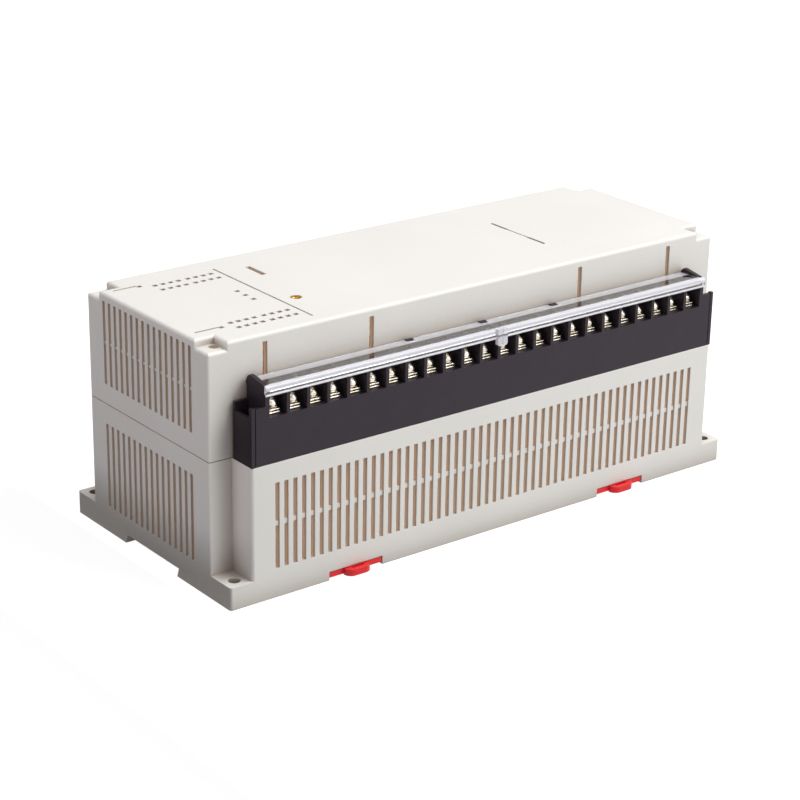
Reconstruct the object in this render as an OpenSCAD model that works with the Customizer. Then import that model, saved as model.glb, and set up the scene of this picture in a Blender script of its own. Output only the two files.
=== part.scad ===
// Control-gear enclosure for a 35 mm rail: two moulded shells, two barrier
// terminal blocks with hinged clear covers, and two sliding rail clips.
// Millimetres. X runs along the rail, -Y is the front with the clips, +Z is up
// from the mounting plane. The origin is at the centre of the base.

/* [Housing] */
// Depth of the tall middle part
core_depth = 84; // [80:0.5:100]
// Depth of each side bay in front of and behind the middle part
bay_depth = 13; // [12.5:0.1:14]
// Length of each screw foot
foot_len = 9.8; // [9:0.1:14]
// Height of the plinth and its feet
plinth_h = 9.2; // [8.5:0.1:12]
// Height of the joint between the two shells
parting_h = 54.3; // [48:0.1:64]
// Overall height
total_h = 99.5; // [94:0.1:112]
// Wall thickness of both shells
wall = 2.2; // [1.8:0.1:2.6]
// Radius of the upright edges of the middle part
core_edge_r = 0.8; // [0.6:0.1:2.4]
// Radius of the upright edges of bays and feet
foot_edge_r = 1.2; // [0.6:0.1:2]
// Radius of the upper edges
top_edge_r = 1.3; // [0.8:0.1:2.1]
// Height of the shadow line round the joint of the shells
parting_groove = 0.3; // [0.2:0.05:0.5]

/* [Feet] */
// Diameter of the screw holes
foot_hole_d = 4.6; // [4:0.1:5.2]
// Distance of a screw hole from the outer faces
foot_hole_inset = 5; // [4.5:0.1:5.5]

/* [Corner recesses] */
// Length of a corner recess along the housing
recess_len = 8.4; // [8:0.1:9.4]
// Depth of a corner recess across the housing
recess_depth = 8.8; // [8.2:0.1:9.6]
// Drop of a corner recess below the top
recess_drop = 3; // [2:0.1:4]
// Diameter of the screw well in a corner recess
well_d = 3.8; // [3.7:0.1:4.2]
// Distance of a well from the end face
well_end_gap = 6.2; // [6:0.1:6.4]
// Distance of a well from the side face
well_side_gap = 5.5; // [5.2:0.1:5.9]
// Thickness of the seat under a screw head
well_seat_t = 4; // [3:0.1:6]

/* [Vents] */
// Distance from slot to slot
vent_pitch = 4; // [3.6:0.1:5]
// Width of a vent slot
vent_w = 1.8; // [1.2:0.1:2]
// Distance of the last slot from the end of a bay
bay_vent_margin = 11.2; // [10:0.1:16]
// Distance of the last end slot from the side face
end_vent_margin = 12; // [11.6:0.1:16]
// Gap from the plinth to the bay slots
bay_vent_low = 2.6; // [2:0.1:6]
// Gap from the bay slots to the joint of the shells
bay_vent_high = 8.1; // [6:0.1:12]
// Gap from the plinth to the lower end slots
end_vent_low = 1.9; // [1.5:0.1:6]
// Gap from the lower end slots to the joint
end_vent_high = 8.2; // [6:0.1:12]
// Gap from the joint to the upper end slots
top_vent_low = 8.3; // [6:0.1:12]
// Gap from the upper end slots to the top
top_vent_high = 3.2; // [3:0.1:6]
// Height of the cross rib in the bay slots
bay_rib_h = 2; // [1.2:0.1:3]
// Height of that rib above the middle of the slots
bay_rib_rise = 0.8; // [0:0.1:2]
// Height of the cross rib in the upper end slots
end_rib_h = 1.1; // [0.8:0.1:2]
// How far a cross rib lies behind the face
rib_recess = 0.5; // [0.3:0.1:0.9]
// Width of the four tall side slots of the upper shell
side_slot_w = 2; // [1.5:0.1:2.5]
// Distance of the outer side slots from the middle
side_slot_outer_x = 100.3; // [94:0.1:106]
// Distance of the inner side slots from the middle
side_slot_inner_x = 52; // [40:0.5:64]
// Height of a side slot
side_slot_h = 18; // [12:0.5:22]

/* [Rail channel] */
// Width of the channel across the base
channel_w = 37; // [36.4:0.1:38]
// Depth of the channel
channel_depth = 3.7; // [3.6:0.05:4.2]
// Lean of the channel walls towards the front
channel_lean = 1.3; // [0.8:0.1:1.4]
// Width of a fixed hook
hook_w = 16; // [10:0.5:24]
// Reach of a fixed hook into the channel
hook_reach = 3.9; // [3:0.1:4.5]
// Thickness of the rail lip that hooks and clips hold
rail_lip_t = 1; // [0.9:0.05:1.1]
// Play of the rail lip under the channel ceiling
rail_lip_play = 0.2; // [0.1:0.05:0.3]
// Height of the underside of the fixed hooks
hook_low = 0.5; // [0.3:0.1:0.9]
// Thickness of the ribs between the pockets under the base
base_rib_t = 1.8; // [1.4:0.1:2.4]

/* [Rail clips] */
// Distance of each clip from the middle
clip_x = 67.8; // [50:0.1:78]
// Width of a clip
clip_w = 24.6; // [20:0.1:27]
// Side clearance of a clip in its guide
clip_side_gap = 0.25; // [0.2:0.05:0.4]
// Height of the underside of a clip plate
clip_low = 1; // [0.9:0.05:1.2]
// Thickness of a clip plate
clip_t = 2.2; // [1.8:0.1:2.2]
// Clearance above a clip plate
clip_top_gap = 0.3; // [0.3:0.05:0.4]
// Reach of the nose past the mouth of the guide
clip_nose_reach = 2.2; // [1.8:0.1:3]
// Travel of a clip when it is pulled out
clip_travel = 3.5; // [3:0.1:4.5]
// Set-back of a clip behind the front face
clip_setback = 0.2; // [0.1:0.1:0.8]
// Width of the finger tab
tab_w = 11.5; // [9:0.1:14]
// Reach of the finger tab in front of the clip plate
tab_reach = 3.5; // [2.8:0.1:4.5]
// Corner radius of the finger tab
tab_r = 3.2; // [2:0.1:3.4]
// Length of the stop boss in the clip window
stop_len = 10; // [6:0.5:12]
// Width of the stop boss in the clip window
stop_w = 7.2; // [5:0.1:9]
// Reach of the ledges that carry a clip
guide_lip = 1.5; // [1:0.1:2]

/* [Terminal blocks] */
// Number of terminals in a block
ways = 24; // [16:2:24]
// Distance from terminal to terminal
way_pitch = 9; // [8.8:0.05:9.6]
// Thickness of the walls between terminals
divider_t = 1.4; // [1.2:0.1:1.7]
// Thickness of the tall end walls
end_wall_t = 1.9; // [1.6:0.1:2.4]
// Length of the screw wing at each end
wing_len = 6; // [5.8:0.1:7]
// Height of the terminal floor above the joint
floor_h = 18.1; // [15:0.1:19]
// Thickness of the terminal floor
floor_t = 2; // [1.6:0.1:2.4]
// Height of the wings above the joint
wing_h = 22.7; // [20.5:0.1:24]
// Height of the low outer wall of a wing above the joint
wing_end_h = 19.2; // [17:0.1:20]
// Height of the screw seat in a wing above the joint
wing_seat_h = 13.7; // [10:0.1:15]
// Height of the walls between terminals above the joint
divider_h = 27; // [26:0.1:29]
// Thickness of the front wall of a block
panel_t = 1.6; // [1.4:0.1:2]
// Thickness of the back wall of a block
back_t = 1.2; // [1:0.1:1.4]
// Gap between a block and the upper shell
block_gap = 1.3; // [1.1:0.1:1.5]
// Width of the corner grooves in the front wall of a block
post_groove = 0.4; // [0.2:0.1:0.6]

/* [Terminal metal] */
// Side gap of a contact plate in its pocket
plate_gap = 0.45; // [0.3:0.05:0.8]
// Thickness of a contact plate
plate_t = 0.8; // [0.6:0.1:1]
// Distance of the plates behind the front face of a block
plate_setback = 2.3; // [1.9:0.1:2.8]
// Distance of a screw behind the front face of a block
screw_setback = 5.4; // [5.2:0.1:6]
// Width and length of a clamp plate
clamp_w = 6.5; // [6:0.1:6.6]
// Opening between contact plate and clamp plate
clamp_lift = 0.4; // [0.3:0.05:0.9]
// Thread diameter of a terminal screw
screw_d = 3; // [2.5:0.1:3.4]
// Head diameter of a terminal screw
screw_head_d = 5.8; // [5.2:0.1:6.2]
// Head height of a terminal screw
screw_head_h = 3; // [2.2:0.1:3.2]
// Length of a terminal screw under the head
screw_len = 10; // [8:0.5:12]
// Thickness of a spring washer
washer_t = 1.1; // [0.8:0.1:1.2]
// Outer diameter of a spring washer
washer_d = 5.4; // [5:0.1:5.6]
// Width of a solder pin
pin_w = 2; // [1.4:0.1:2.4]
// Length of a solder pin below the joint of the shells
pin_drop = 14; // [8:0.5:18]

/* [Terminal covers] */
// Thickness of the clear plate
cover_t = 1.2; // [1:0.05:1.4]
// Height of the hinge line above the walls between terminals
hinge_h = 1.95; // [1.9:0.05:2.2]
// Distance of the hinge line from the upper shell
hinge_gap = 2.4; // [2.2:0.05:2.6]
// Radius of the hinge knuckles of a cover
barrel_r = 1.1; // [1:0.05:1.2]
// Length of a hinge knuckle
knuckle_len = 3; // [2:0.5:5]
// Diameter of a hinge pin
hinge_pin_d = 1.5; // [1.2:0.05:1.6]
// Radial clearance of a hinge pin
hinge_play = 0.05; // [0.04:0.01:0.08]
// Width of a hinge lug
lug_w = 3; // [2.4:0.1:4]
// Distance of the outer lugs from the middle
lug_x = 36; // [27:0.5:63]
// Rise of the plate towards the front
cover_rise = 0.6; // [0.3:0.05:0.8]
// Reach of the front lip past the front face of a block
lip_reach = 0.8; // [0.7:0.05:1]
// Thickness of the front lip
lip_t = 1.4; // [1.3:0.05:1.6]
// Height of the thick bar at the front of a cover
bar_h = 2; // [1.8:0.1:2.2]
// Height of the bead along the lower edge of the lip
bead_h = 0.8; // [0.6:0.05:1]
// Drop of the bead below the top of the walls between terminals
bead_drop = 0.4; // [0.2:0.05:0.6]
// Reach of the bead in front of the bar
bead_reach = 0.1; // [0:0.05:0.3]
// Clearance between lip and terminal walls
lip_gap = 0.3; // [0.2:0.05:0.5]
// Width of a finger grip
grip_w = 2.2; // [1.6:0.1:3]
// Length of a finger grip below the lip
grip_drop = 3.3; // [2.4:0.1:4]
// Thickness of a finger grip
grip_t = 1.2; // [0.9:0.1:1.5]
// Gap between the two covers of a block
cover_gap = 0.3; // [0.2:0.05:0.5]

/* [Top details] */
// Distance of the cross groove from the middle
groove_x = 75; // [70:0.5:77]
// Length of the cross groove
groove_len = 67; // [50:1:70]
// Width of the cross groove
groove_w = 0.9; // [0.5:0.05:1.2]
// Depth of the cross groove
cross_cut = 0.3; // [0.2:0.05:0.6]
// Depth of the snap and key grooves
groove_cut = 0.6; // [0.4:0.05:0.9]
// Width of a square indicator hole
led_w = 2; // [1.6:0.1:2.4]
// Distance from indicator hole to indicator hole
led_pitch = 3.5; // [3.2:0.1:3.5]
// Distance from the first to the second group of holes
led_group = 14.8; // [14.4:0.1:15]
// Distance between the two rows of a field
led_row_gap = 5.6; // [5:0.1:6.4]
// Distance of the first indicator hole from the middle
led_first_x = 104.3; // [104:0.1:106]
// Distance of the front field from the middle
led_front_y = 28.2; // [26:0.1:29]
// Distance of the rear field from the middle
led_rear_y = 23.7; // [22:0.1:28]
// Distance of the adjuster hole from the middle
adjuster_x = 67.8; // [64:0.1:70]
// Distance of the adjuster hole in front of the middle
adjuster_y = 15.2; // [10:0.1:20]
// Outer diameter of the brass insert
insert_d = 4.6; // [4.4:0.1:5]
// Thread bore of the brass insert
insert_bore_d = 3.6; // [2.4:0.1:3.8]
// Length of the brass insert
insert_len = 6; // [4:0.5:8]
// Distance of the long key slot from the middle
key_x = 54; // [45:0.5:70]
// Length of the long key slot
key_len = 34.2; // [24:0.2:44]
// Width of the long key slot
key_w = 1.2; // [0.8:0.1:1.6]

/* [Hidden] */

$fn = 48;
eps = 0.01;
over = 1;

// terminal block layout along the housing
field_half = ways * way_pitch / 2 - divider_t / 2;
body_half = field_half + end_wall_t;
block_half = body_half + wing_len;
pocket_w = way_pitch - divider_t;

// housing envelope
base_len = 2 * (block_half + foot_len);
base_depth = core_depth + 2 * bay_depth;
half_len = base_len / 2;
half_depth = base_depth / 2;
core_half = core_depth / 2;
ledge_z = total_h - recess_drop;
ledge_plate_low = parting_h - wall;
floor_z = channel_depth + wall;

// shell screws
well_x = half_len - well_end_gap;
well_y = core_half - well_side_gap;
post_wall = 1.5;
post_half = well_d / 2 + post_wall;
shell_screw_d = 2.2;
shell_screw_head_d = well_d - 0.3;
shell_screw_head_h = 1.6;
shell_screw_grip = 9;
thread_gap = 0.05;
hole_gap = 0.1;
post_z = parting_h + well_seat_t;

// vents
bay_vent_z0 = plinth_h + bay_vent_low;
bay_vent_z1 = parting_h - bay_vent_high;
end_vent_z0 = plinth_h + end_vent_low;
end_vent_z1 = parting_h - end_vent_high;
top_vent_z0 = parting_h + top_vent_low;
top_vent_z1 = total_h - top_vent_high;
bay_vents = floor((2 * block_half - 2 * bay_vent_margin) / vent_pitch + eps) + 1;
end_vents = floor((core_depth - 2 * end_vent_margin) / vent_pitch + eps) + 1;

// locating tongues between the shells
tongue_t = 1.3;
tongue_h = 1.6;
tongue_root = 2;
tongue_gap = 0.15;
tongue_end_len = 56;
tongue_margin = 12;

// channel, hooks and the pockets under the base
channel_front = channel_w / 2 + channel_lean + wall;
channel_rear = channel_w / 2 + wall;
hook_top = channel_depth - rail_lip_t - rail_lip_play;
rear_pockets = 8;
middle_pockets = 4;

// clips and their guides
guide_half = clip_w / 2 + clip_side_gap;
guide_top = clip_low + clip_t + clip_top_gap;
guide_land = guide_half + wall;
guide_lip_top = clip_low - 0.2;
guide_lip_y0 = half_depth - 5;
guide_lip_y1 = channel_w / 2 + 5.5;
clip_front = half_depth - clip_setback;
clip_tip = channel_w / 2 - clip_nose_reach;
clip_step = channel_w / 2 + channel_lean + 0.5;
nose_top = hook_top - 0.1;
stop_gap = 0.3;
stop_front = half_depth - 11.3;
window_len = stop_len + clip_travel + 2 * stop_gap;
window_w = stop_w + 0.8;
tab_drop = 0.4;
tab_slot_len = 5.6;
tab_slot_w = 1.2;

// terminal block heights
floor_top = parting_h + floor_h;
wing_top = parting_h + wing_h;
wing_end_top = parting_h + wing_end_h;
wing_seat = parting_h + wing_seat_h;
divider_top = parting_h + divider_h;
panel_y = half_depth - panel_t;
back_y0 = core_half + block_gap;
back_y1 = back_y0 + back_t;
wing_wall = 1.3;
post_w = 1.5;
post_rise = 0.4;
post_groove_cut = 0.3;
wing_x = body_half + (wing_len - wing_wall) / 2;
wing_y = core_half + bay_depth / 2;
wing_screw_d = 2.4;
wing_screw_head_d = 4.2;
wing_screw_head_h = 1.9;
wing_screw_grip = 6;
boss_wall = 1.6;
block_rib_t = 1.2;
block_rib_step = 4;

// terminal metal
way_x = [for (i = [0 : ways - 1]) (i - (ways - 1) / 2) * way_pitch];
plate_half = pocket_w / 2 - plate_gap;
plate_front = half_depth - plate_setback;
screw_y = half_depth - screw_setback;
plate_rear = back_y1 + 1.7;
pin_y = plate_rear + plate_t;
pin_gap = 0.1;
pin_end = parting_h - pin_drop;
clamp_z = floor_top + plate_t + clamp_lift;
washer_z = clamp_z + plate_t;
head_z = washer_z + washer_t;
bore_gap = 0.15;
head_slot_w = 0.8;
head_slot_cut = 1;
pin_slot_y0 = plate_rear - 0.8;
pin_slot_y1 = pin_y + 0.8;
pin_slot_half = field_half - 1.8;

// covers
hinge_y = core_half + hinge_gap;
hinge_z = divider_top + hinge_h;
lug_r = barrel_r + 0.5;
back_top = hinge_z - barrel_r - 0.4;
lip_low = divider_top + lip_gap;
bead_low = divider_top - bead_drop;
skirt_gap = 0.15;
lip_step = 0.2;
cover_front = half_depth + lip_reach;
cover_top_back = hinge_z + barrel_r;
cover_back = hinge_y - 1;
cover_top_front = cover_top_back + cover_rise;
bar_low = cover_top_front - bar_h;
cover_side_gap = 0.2;
lug_side_gap = 0.3;
knuckle_x = lug_w / 2 + lug_side_gap;
pin_skin = 0.5;
pin_end_gap = pin_skin + 0.3;
end_wall_top = cover_top_back + 1.9;
end_wall_fall = 1.4;
end_wall_chamfer = 1.3;
fold_r = 1.3;
end_notch_y = cover_front - lip_t - 0.7;
grip_low = lip_low - grip_drop;
grip_y0 = half_depth + 0.4;
grip_y1 = cover_front + grip_t;
grip_top = cover_top_front + 0.2;

// top details
led_x = [for (g = [0, 1]) for (i = [0 : 3]) -led_first_x + g * led_group + i * led_pitch];
tool_slot_w = 2.2;
tool_slot_len = 12;
tool_slot_y = 20;
tool_slot_x = 62.3;
dot_x = 82.2;
dot_y = [3.2, -2.35, -7.9];
groove_mid_y = -2.5;
snap_x0 = 4.2;
snap_w = 1;
snap_len = 10;
snap_front_y = 27.1;
snap_rear_y = 30;
snap_hole = 2;
key_bridge = 13.2;
key_mid_y = -0.6;
insert_drop = 0.2;
insert_floor = 1.5;
insert_low = total_h - insert_drop - insert_len;
insert_hole_d = insert_d + 2 * thread_gap;

// rectangle with round corners, centred
module rounded_rect(l, w, r) {
    square([l - 2 * r, w], center = true);
    square([l, w - 2 * r], center = true);
    for (sx = [-1, 1], sy = [-1, 1])
        translate([sx * (l / 2 - r), sy * (w / 2 - r)]) circle(r);
}

// upright profile with round upper corners, standing on the X axis
module arch(w, h, r) {
    translate([-w / 2, 0]) square([w, h - r]);
    translate([-w / 2 + r, 0]) square([w - 2 * r, h]);
    for (s = [-1, 1]) translate([s * (w / 2 - r), h - r]) circle(r);
}

// block with round upright edges and round upper edges
module soft_block(l, w, h, side_r, top_r) {
    intersection() {
        linear_extrude(h) rounded_rect(l, w, side_r);
        rotate([90, 0, 90]) linear_extrude(l + 2 * over, center = true) arch(w, h, top_r);
        rotate([90, 0, 0]) linear_extrude(w + 2 * over, center = true) arch(l, h, top_r);
    }
}

// box from its limits
module span(x0, x1, y0, y1, z0, z1) {
    translate([x0, y0, z0]) cube([x1 - x0, y1 - y0, z1 - z0]);
}

// the same piece at all four corners
module corners(x, y) {
    for (sx = [-1, 1], sy = [-1, 1]) translate([sx * x, sy * y, 0]) children();
}

// the same piece on both sides of the middle
module both_ends() {
    children();
    mirror([1, 0, 0]) children();
}

module both_sides() {
    children();
    mirror([0, 1, 0]) children();
}

// row of upright slots through a wall that lies in the XZ plane at y
module slot_row(count, y, depth, z0, z1, w) {
    for (i = [0 : count - 1])
        translate([(i - (count - 1) / 2) * vent_pitch - w / 2, y, z0]) cube([w, depth, z1 - z0]);
}

// slots with a cross rib that is set back from the face
module ribbed_row(count, face, z0, z1, rib_h, rib_rise) {
    rib_low = (z0 + z1 - rib_h) / 2 + rib_rise;
    slot_row(count, -face - over, over + rib_recess, z0, z1, vent_w);
    slot_row(count, -face - over, 2 * over + wall, z0, rib_low, vent_w);
    slot_row(count, -face - over, 2 * over + wall, rib_low + rib_h, z1, vent_w);
}

// screw with a slotted round head; the underside of the head is at z = 0
module pan_screw(d, head_d, head_h, len) {
    dome = head_h * 0.35;
    difference() {
        union() {
            rotate_extrude() polygon([[0, 0], [head_d / 2 - 0.2, 0], [head_d / 2, 0.3],
                [head_d / 2, head_h - dome], [head_d / 2 - 0.5, head_h - dome * 0.4],
                [head_d / 2 - 1.2, head_h], [0, head_h]]);
            translate([0, 0, -len + d / 2]) cylinder(d = d, h = len - d / 2 + eps);
            translate([0, 0, -len]) cylinder(d1 = d * 0.4, d2 = d, h = d / 2 + eps);
        }
        for (a = [0, 90]) rotate([0, 0, a])
            translate([-head_d * 0.32, -head_slot_w / 2, head_h - head_slot_cut])
                cube([head_d * 0.64, head_slot_w, head_slot_cut + over]);
    }
}

// ---- lower shell ----

module lower_outside() {
    linear_extrude(parting_h) rounded_rect(base_len, core_depth, core_edge_r);
    linear_extrude(parting_h) rounded_rect(2 * block_half, base_depth, foot_edge_r);
    linear_extrude(plinth_h) rounded_rect(base_len, base_depth, foot_edge_r);
}

module lower_cavity() {
    span(-half_len + wall, half_len - wall, -core_half + wall, core_half - wall,
        floor_z, parting_h + over);
    span(-block_half + wall, block_half - wall, -half_depth + wall, half_depth - wall,
        floor_z, ledge_plate_low);
}

// channel for the rail, open below, with leaning walls
module rail_channel() {
    slope = channel_lean / channel_depth;
    low = -over;
    rotate([90, 0, 90]) linear_extrude(base_len + 2 * over, center = true)
        polygon([[-channel_w / 2 - slope * low, low], [channel_w / 2 - slope * low, low],
            [channel_w / 2 - channel_lean, channel_depth],
            [-channel_w / 2 - channel_lean, channel_depth]]);
}

// pockets that keep the base at wall thickness
module pocket_row(x0, x1, count, y0, y1) {
    step = (x1 - x0 + base_rib_t) / count;
    for (i = [0 : count - 1])
        span(x0 + i * step, x0 + (i + 1) * step - base_rib_t, y0, y1, -over, channel_depth);
}

module base_pockets() {
    inner_x = block_half - wall;
    outer_y = half_depth - wall;
    pocket_row(-inner_x, inner_x, rear_pockets, channel_rear, outer_y);
    pocket_row(-clip_x + guide_land, clip_x - guide_land, middle_pockets, -outer_y, -channel_front);
    both_ends() pocket_row(clip_x + guide_land, inner_x, 1, -outer_y, -channel_front);
}

module clip_guide_cut() {
    span(-guide_half, guide_half, -half_depth - over, -channel_w / 2 + over, -over, guide_top);
}

module clip_guide_parts() {
    both_ends() span(guide_half - guide_lip, guide_half + eps,
        -guide_lip_y0, -guide_lip_y1, 0, guide_lip_top);
    span(-stop_w / 2, stop_w / 2, -stop_front, -stop_front + stop_len,
        clip_low + 0.3, guide_top + eps);
}

module shell_post_low() {
    inset = well_d / 2 + post_wall;
    span(well_x - inset, half_len - wall + eps, well_y - inset, core_half - wall + eps,
        floor_z - eps, parting_h);
}

module board_posts() {
    board_x = block_half - 26;
    board_y = core_half - 12;
    for (x = [-board_x, 0, board_x], sy = [-1, 1]) translate([x, sy * board_y, 0])
        difference() {
            translate([0, 0, floor_z - eps]) cylinder(d = 6, h = 6);
            translate([0, 0, floor_z + 1]) cylinder(d = 2.2, h = 6);
        }
}

module lower_housing() {
    color("#d9d5ce") difference() {
        union() {
            difference() {
                lower_outside();
                lower_cavity();
                rail_channel();
                base_pockets();
                for (s = [-1, 1]) translate([s * clip_x, 0, 0]) clip_guide_cut();
            }
            for (s = [-1, 1]) translate([s * clip_x, 0, 0]) clip_guide_parts();
            for (s = [-1, 1]) span(s * clip_x - hook_w / 2, s * clip_x + hook_w / 2,
                channel_w / 2 - hook_reach, channel_w / 2 + wall / 2, hook_low, hook_top);
            both_ends() both_sides() shell_post_low();
            both_sides() both_ends() translate([wing_x, -wing_y, 0])
                translate([0, 0, ledge_plate_low - wing_screw_grip])
                    cylinder(d = wing_screw_d + 2 * boss_wall, h = wing_screw_grip + eps);
            board_posts();
        }
        both_sides() ribbed_row(bay_vents, half_depth, bay_vent_z0, bay_vent_z1, bay_rib_h, bay_rib_rise);
        for (s = [-1, 1]) rotate([0, 0, s * 90])
            slot_row(end_vents, -half_len - over, wall + 2 * over, end_vent_z0, end_vent_z1, vent_w);
        corners(half_len - foot_hole_inset, half_depth - foot_hole_inset)
            translate([0, 0, -over]) cylinder(d = foot_hole_d, h = plinth_h + 2 * over);
        corners(well_x, well_y) translate([0, 0, parting_h - shell_screw_grip])
            cylinder(d = shell_screw_d + 2 * thread_gap, h = shell_screw_grip + over);
        corners(wing_x, wing_y) translate([0, 0, ledge_plate_low - wing_screw_grip + 1])
            cylinder(d = wing_screw_d + 2 * thread_gap, h = wing_screw_grip + wall + over);
        both_sides() span(-pin_slot_half, pin_slot_half, -pin_slot_y1, -pin_slot_y0,
            ledge_plate_low - over, parting_h + over);
    }
}

// ---- upper shell ----

module upper_outside() {
    h = total_h - parting_h;
    ledge_h = ledge_z - parting_h;
    translate([0, 0, parting_h]) {
        soft_block(base_len, core_depth, ledge_h, core_edge_r, top_edge_r);
        soft_block(base_len, core_depth - 2 * recess_depth, h, core_edge_r / 2, top_edge_r);
        soft_block(base_len - 2 * recess_len, core_depth, h, core_edge_r / 2, top_edge_r);
    }
}

module upper_cavity() {
    x = half_len - wall;
    y = core_half - wall;
    low = parting_h - over;
    span(-x, x, -y, y, low, ledge_z - wall);
    span(-x, x, -y + recess_depth, y - recess_depth, low, total_h - wall);
    span(-x + recess_len, x - recess_len, -y, y, low, total_h - wall);
}

module shell_post_high() {
    inset = well_d / 2 + post_wall;
    span(well_x - inset, half_len - wall + eps, well_y - inset, core_half - wall + eps,
        parting_h, ledge_z - wall + eps);
}

// tongues that drop into the lower shell
module tongues() {
    z1 = parting_h + tongue_root;
    end_x = half_len - wall;
    side_y = core_half - wall;
    side_x = block_half - tongue_margin;
    both_ends() {
        span(end_x - tongue_t, end_x - tongue_gap, -tongue_end_len / 2, tongue_end_len / 2,
            parting_h - tongue_h, z1);
        span(end_x - tongue_t, end_x + eps, -tongue_end_len / 2, tongue_end_len / 2,
            parting_h, z1);
    }
    both_sides() {
        span(-side_x, side_x, side_y - tongue_t, side_y - tongue_gap, parting_h - tongue_h, z1);
        span(-side_x, side_x, side_y - tongue_t, side_y + eps, parting_h, z1);
    }
}

// rebate that leaves the shadow line between the shells
module shadow_line() {
    translate([0, 0, parting_h - over]) linear_extrude(parting_groove + over) difference() {
        square([base_len + 2 * over, core_depth + 2 * over], center = true);
        rounded_rect(base_len - 2 * parting_groove, core_depth - 2 * parting_groove, core_edge_r);
    }
}

module groove_box(x0, x1, y0, y1) {
    span(x0, x1, y0, y1, total_h - groove_cut, total_h + over);
}

module through_box(x0, x1, y0, y1) {
    span(x0, x1, y0, y1, total_h - wall - over, total_h + over);
}

module indicator_hole(x, y) {
    through_box(x - led_w / 2, x + led_w / 2, y - led_w / 2, y + led_w / 2);
}

module top_marks() {
    span(-groove_x - groove_w / 2, -groove_x + groove_w / 2,
        groove_mid_y - groove_len / 2, groove_mid_y + groove_len / 2,
        total_h - cross_cut, total_h + over);
    for (x = led_x, y = [-led_front_y, led_rear_y], s = [-1, 1])
        indicator_hole(x, y + s * led_row_gap / 2);
    for (y = dot_y) indicator_hole(-dot_x, y);
    // snap edges of the indicator field
    snap_x = -half_len + snap_x0;
    snap_end = snap_x + snap_len;
    through_box(snap_x, snap_end, -snap_front_y - snap_w / 2, -snap_front_y + snap_w / 2);
    groove_box(snap_x, snap_end, snap_rear_y - snap_w / 2, snap_rear_y + snap_w / 2);
    through_box(snap_end, snap_end + snap_hole,
        -snap_front_y - snap_hole + snap_w / 2, -snap_front_y + snap_w / 2);
    through_box(snap_end, snap_end + snap_hole,
        snap_rear_y - snap_hole, snap_rear_y);
    // tool slot and long key slot
    through_box(-tool_slot_x - tool_slot_w / 2, -tool_slot_x + tool_slot_w / 2,
        tool_slot_y - tool_slot_len / 2, tool_slot_y + tool_slot_len / 2);
    groove_box(key_x - key_w / 4, key_x + key_w / 4, key_mid_y - key_len / 2, key_mid_y + key_len / 2);
    for (s = [-1, 1]) {
        inner = key_mid_y + s * key_bridge / 2;
        outer = key_mid_y + s * key_len / 2;
        through_box(key_x - key_w / 2, key_x + key_w / 2, min(inner, outer), max(inner, outer));
    }
}

// boss that carries the threaded insert below the adjuster hole
module insert_boss() {
    boss_low = insert_low - thread_gap - insert_floor;
    translate([-adjuster_x, -adjuster_y, boss_low])
        cylinder(d = insert_d + 2 * boss_wall, h = total_h - wall / 2 - boss_low);
}

module upper_housing() {
    color("#efeeea") difference() {
        union() {
            difference() {
                upper_outside();
                upper_cavity();
                shadow_line();
                top_marks();
            }
            both_ends() both_sides() shell_post_high();
            tongues();
            insert_boss();
        }
        translate([-adjuster_x, -adjuster_y, insert_low - thread_gap])
            cylinder(d = insert_hole_d, h = insert_len + over);
        for (s = [-1, 1]) rotate([0, 0, s * 90])
            ribbed_row(end_vents, half_len, top_vent_z0, top_vent_z1, end_rib_h, 0);
        corners(well_x, well_y) {
            translate([0, 0, post_z]) cylinder(d = well_d, h = total_h - post_z);
            translate([0, 0, parting_h - over])
                cylinder(d = shell_screw_d + 2 * hole_gap, h = well_seat_t + 2 * over);
        }
        both_sides() for (x = [side_slot_outer_x, side_slot_inner_x], s = [-1, 1])
            span(s * x - side_slot_w / 2, s * x + side_slot_w / 2, -core_half - over,
                -core_half + wall + over, top_vent_z1 - side_slot_h, top_vent_z1);
    }
}

module housing_screws() {
    color("#b9b6ae") corners(well_x, well_y) translate([0, 0, post_z])
        pan_screw(shell_screw_d, shell_screw_head_d, shell_screw_head_h,
            well_seat_t + shell_screw_grip - 1);
}

module adjuster_insert() {
    color("#c9a04a") translate([-adjuster_x, -adjuster_y, insert_low])
        difference() {
            cylinder(d = insert_d, h = insert_len);
            translate([0, 0, -over]) cylinder(d = insert_bore_d, h = insert_len + 2 * over);
        }
}

// ---- terminal block, front one; the rear one is the same moulding turned round ----

module block_body() {
    // front wall
    span(-block_half, block_half, -half_depth, -panel_y, parting_h, floor_top);
    // back wall
    span(-field_half - eps, field_half + eps, -back_y1, -back_y0, parting_h, back_top);
    // terminal floor
    span(-field_half - eps, field_half + eps, -panel_y - eps, -back_y0, floor_top - floor_t, floor_top);
    // walls between terminals
    for (i = [1 : ways - 1])
        span((i - ways / 2) * way_pitch - divider_t / 2, (i - ways / 2) * way_pitch + divider_t / 2,
            -half_depth, -back_y0, floor_top - floor_t, divider_top);
    // stiffening ribs under the floor
    for (i = [block_rib_step : block_rib_step : ways - 1])
        span((i - ways / 2) * way_pitch - block_rib_t / 2, (i - ways / 2) * way_pitch + block_rib_t / 2,
            -panel_y - eps, -back_y0, parting_h, floor_top - floor_t + eps);
    both_ends() block_end();
}

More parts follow.
